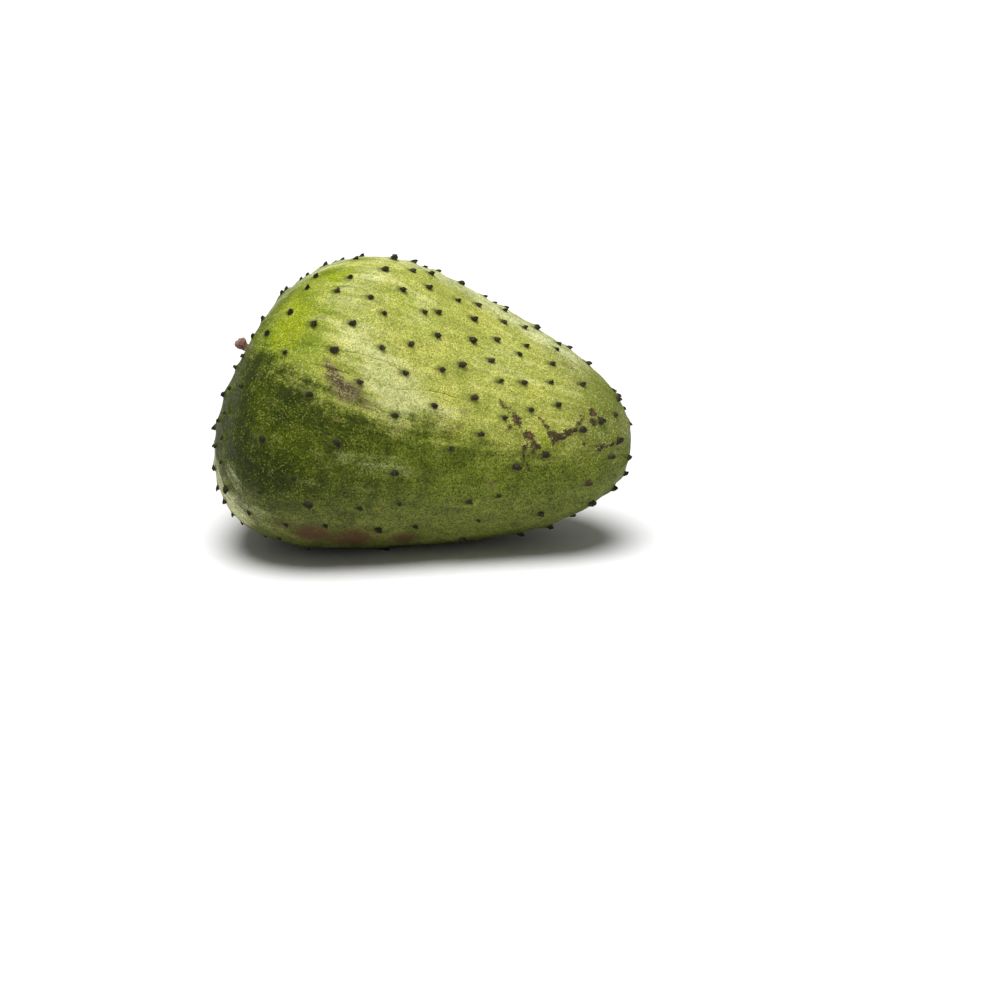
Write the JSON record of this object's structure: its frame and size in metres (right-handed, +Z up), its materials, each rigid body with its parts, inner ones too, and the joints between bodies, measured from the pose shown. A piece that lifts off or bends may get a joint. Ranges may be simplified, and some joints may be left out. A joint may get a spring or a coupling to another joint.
{
  "type": "soursop",
  "caption": "Whole soursop lying on its side: a blunt, lopsided egg of green skin set with short leaning spines, with a woody stalk stub at its broad end.",
  "frame": {"origin": "centre of the small flat spot that the fruit rests on, in the plane of the surface beneath it", "axes": "+X along the fruit from the stalk end to the tip, as seen from above, +Z up, and -Y towards the side that the swollen belly is on"},
  "size_m": [0.2007, 0.1479, 0.1378],
  "materials": {
    "soursop_skin": "satin waxy green skin, paler and speckled above, with near-black spine tips",
    "stalk_wood": "dull reddish-brown bark"
  },
  "bodies": {
    "root": {"fruit": "soursop_skin", "stalk": "stalk_wood"}
  },
  "joints": []
}
